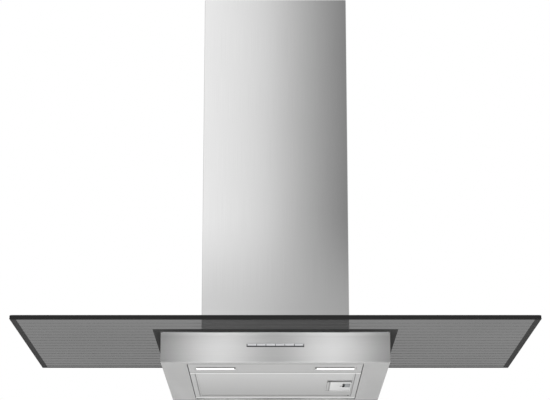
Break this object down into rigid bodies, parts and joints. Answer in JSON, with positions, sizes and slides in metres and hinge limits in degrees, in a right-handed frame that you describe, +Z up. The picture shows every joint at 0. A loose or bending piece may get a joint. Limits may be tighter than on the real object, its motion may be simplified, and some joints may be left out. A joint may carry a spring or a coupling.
{
  "type": "wall mount range hood",
  "caption": "Wall mount range hood with a telescopic chimney, a flat smoked glass canopy, push keys, lamps and a hinged grease filter.",
  "frame": {"origin": "centre of the four wall fixing holes, in the plane of the wall", "axes": "+Z up, +Y into the wall, +X to the right for a person who faces the hood"},
  "size_m": [0.898, 0.5, 0.723],
  "materials": {
    "brushed_steel": "satin, grain along the length",
    "smoked_glass": "polished, dark border print",
    "galvanised_steel": "dull zinc",
    "rubber_seal": "matt",
    "dark_plastic": "fine grain",
    "key_plastic": "silver, satin gloss",
    "lamp_diffuser": "frosted",
    "circuit_board": "white solder mask",
    "filter_aluminium": "satin",
    "grey_plastic": "moulded",
    "capacitor_case": "moulded",
    "driver_case": "moulded",
    "motor_paint": "semi gloss",
    "zinc_steel": "bright zinc"
  },
  "bodies": {
    "hood": {"body_casing": "brushed_steel", "lamp_panel": "brushed_steel", "filter_surround": "brushed_steel", "lower_chimney": "brushed_steel", "glass_canopy": "smoked_glass", "top_plate": "galvanised_steel", "motor_box": "galvanised_steel", "motor_box_cover": "galvanised_steel", "chimney_stay_left": "galvanised_steel", "chimney_stay_right": "galvanised_steel", "glass_clamp_left": "galvanised_steel", "glass_clamp_right": "galvanised_steel", "motor_bracket": "galvanised_steel", "glass_gasket": "rubber_seal", "lamp_housing_left": "dark_plastic", "lamp_housing_right": "dark_plastic", "switch_holder": "dark_plastic", "lamp_lens_left": "lamp_diffuser", "lamp_lens_right": "lamp_diffuser", "led_strip_left": "circuit_board", "led_strip_right": "circuit_board", "switch_board": "circuit_board", "scroll_left": "grey_plastic", "scroll_right": "grey_plastic", "outlet_collar": "grey_plastic", "control_box": "grey_plastic", "control_box_lid": "grey_plastic", "cable_gland": "grey_plastic", "terminal_block": "grey_plastic", "capacitor": "capacitor_case", "led_driver": "driver_case", "motor": "motor_paint", "damper_pin": "zinc_steel", "glass_clamp_screws": "zinc_steel"},
    "upper_chimney": {"upper_chimney": "brushed_steel", "chimney_bracket": "galvanised_steel"},
    "filter": {"filter_frame": "filter_aluminium", "filter_face_mesh": "filter_aluminium", "filter_mesh_pack": "filter_aluminium", "filter_grip": "filter_aluminium", "latch_spring": "zinc_steel"},
    "filter_latch": {"filter_latch": "grey_plastic"},
    "impeller": {"impeller": "galvanised_steel", "motor_shaft": "zinc_steel", "shaft_nut": "zinc_steel"},
    "damper_flap_front": {"damper_flap_front": "grey_plastic"},
    "damper_flap_rear": {"damper_flap_rear": "grey_plastic"},
    "key_1": {"key_1": "key_plastic"},
    "key_2": {"key_2": "key_plastic"},
    "key_3": {"key_3": "key_plastic"},
    "key_4": {"key_4": "key_plastic"},
    "key_5": {"key_5": "key_plastic"},
    "key_6": {"key_6": "key_plastic"}
  },
  "joints": [
    {"name": "upper_chimney_slide", "type": "slide", "parent": "hood", "child": "upper_chimney", "axis": [0, 0, 1], "range_m": [0, 0.4]},
    {"name": "filter_swing", "type": "hinge", "parent": "hood", "child": "filter", "pos_m": [-0.144, -0.1661, -0.245], "axis": [0, 1, 0], "range_deg": [0, 90]},
    {"name": "latch_slide", "type": "slide", "parent": "filter", "child": "filter_latch", "axis": [-1, 0, 0], "range_m": [0, 0.004], "stiffness_N_per_m": 300, "deforming": ["latch_spring"]},
    {"name": "impeller_spin", "type": "hinge", "parent": "hood", "child": "impeller", "pos_m": [0, -0.1055, -0.0653], "axis": [1, 0, 0], "continuous": true},
    {"name": "flap_front_lift", "type": "hinge", "parent": "hood", "child": "damper_flap_front", "pos_m": [0, -0.18, 0.1257], "axis": [-1, 0, 0], "range_deg": [0, 80]},
    {"name": "flap_rear_lift", "type": "hinge", "parent": "hood", "child": "damper_flap_rear", "pos_m": [0, -0.172, 0.1257], "axis": [1, 0, 0], "range_deg": [0, 80]},
    {"name": "key_1_press", "type": "slide", "parent": "hood", "child": "key_1", "axis": [0, 1, 0], "range_m": [0, 0.002], "stiffness_N_per_m": 250},
    {"name": "key_2_press", "type": "slide", "parent": "hood", "child": "key_2", "axis": [0, 1, 0], "range_m": [0, 0.002], "stiffness_N_per_m": 250},
    {"name": "key_3_press", "type": "slide", "parent": "hood", "child": "key_3", "axis": [0, 1, 0], "range_m": [0, 0.002], "stiffness_N_per_m": 250},
    {"name": "key_4_press", "type": "slide", "parent": "hood", "child": "key_4", "axis": [0, 1, 0], "range_m": [0, 0.002], "stiffness_N_per_m": 250},
    {"name": "key_5_press", "type": "slide", "parent": "hood", "child": "key_5", "axis": [0, 1, 0], "range_m": [0, 0.002], "stiffness_N_per_m": 250},
    {"name": "key_6_press", "type": "slide", "parent": "hood", "child": "key_6", "axis": [0, 1, 0], "range_m": [0, 0.002], "stiffness_N_per_m": 250}
  ]
}
